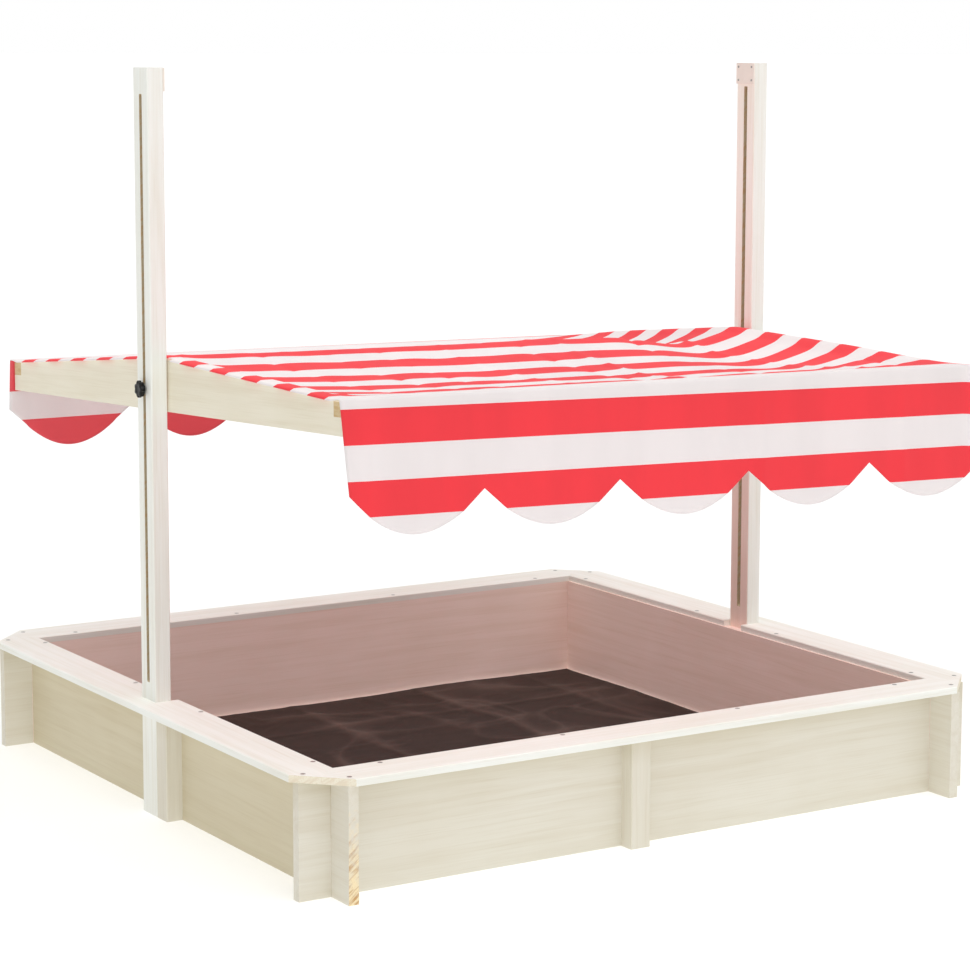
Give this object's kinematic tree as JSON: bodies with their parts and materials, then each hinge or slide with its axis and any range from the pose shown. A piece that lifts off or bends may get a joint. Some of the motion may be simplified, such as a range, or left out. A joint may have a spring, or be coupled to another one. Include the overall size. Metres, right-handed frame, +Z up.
{
  "type": "sandbox with sun roof",
  "caption": "Square wooden sandbox with seat rails, a ground sheet and a striped cloth sun roof that slides and tilts between two slotted posts.",
  "frame": {"origin": "on the ground under the middle of the box", "axes": "+Z up, front towards -Y, +X to the right seen from the front, through both posts"},
  "size_m": [1.15, 1.1, 1.078],
  "materials": {
    "painted_wood": "thin cream paint on planed fir",
    "plate": "white coating",
    "screw_steel": "zinc plated",
    "dowel_wood": "fluted beech, glued",
    "bolt_steel": "zinc plated",
    "knob_plastic": "moulded, fine texture",
    "insert_brass": "turned",
    "liner": "spunbond non-woven",
    "striped_cloth": "coated polyester, printed in red and white stripes"
  },
  "bodies": {
    "box": {"front_wall": "painted_wood", "back_wall": "painted_wood", "left_wall": "painted_wood", "right_wall": "painted_wood", "front_batten": "painted_wood", "back_batten": "painted_wood", "left_batten": "painted_wood", "right_batten": "painted_wood", "front_rail": "painted_wood", "back_rail": "painted_wood", "left_rail": "painted_wood", "right_rail": "painted_wood", "left_post": "painted_wood", "right_post": "painted_wood", "left_post_plate": "plate", "right_post_plate": "plate", "rail_screws": "screw_steel", "batten_dowels": "dowel_wood", "post_dowels": "dowel_wood", "plate_nails": "screw_steel", "ground_sheet": "liner"},
    "carriage": {"left_inner_washer": "bolt_steel", "left_outer_washer": "bolt_steel", "right_inner_washer": "bolt_steel", "right_outer_washer": "bolt_steel"},
    "roof": {"left_arm": "painted_wood", "right_arm": "painted_wood", "front_bar": "painted_wood", "back_bar": "painted_wood", "bar_screws": "screw_steel", "canopy_cloth": "striped_cloth", "front_valance": "striped_cloth", "back_valance": "striped_cloth", "canopy_staples": "screw_steel", "left_bolt": "bolt_steel", "right_bolt": "bolt_steel"},
    "knob_left": {"left_knob": "knob_plastic", "left_knob_insert": "insert_brass"},
    "knob_right": {"right_knob": "knob_plastic", "right_knob_insert": "insert_brass"}
  },
  "joints": [
    {"name": "roof_height", "type": "slide", "parent": "box", "child": "carriage", "axis": [0, 0, 1], "range_m": [-0.15, 0.375]},
    {"name": "roof_tilt", "type": "hinge", "parent": "carriage", "child": "roof", "pos_m": [0, 0, 0.6135], "axis": [0.9998, 0, -0.0175], "range_deg": [-7.1, 12.9]},
    {"name": "left_knob_turn", "type": "hinge", "parent": "roof", "child": "knob_left", "pos_m": [-0.553, 0, 0.62315], "axis": [0.9998, 0, -0.0175], "continuous": true},
    {"name": "right_knob_turn", "type": "hinge", "parent": "roof", "child": "knob_right", "pos_m": [0.553, 0, 0.60385], "axis": [0.9998, 0, -0.0175], "continuous": true}
  ]
}
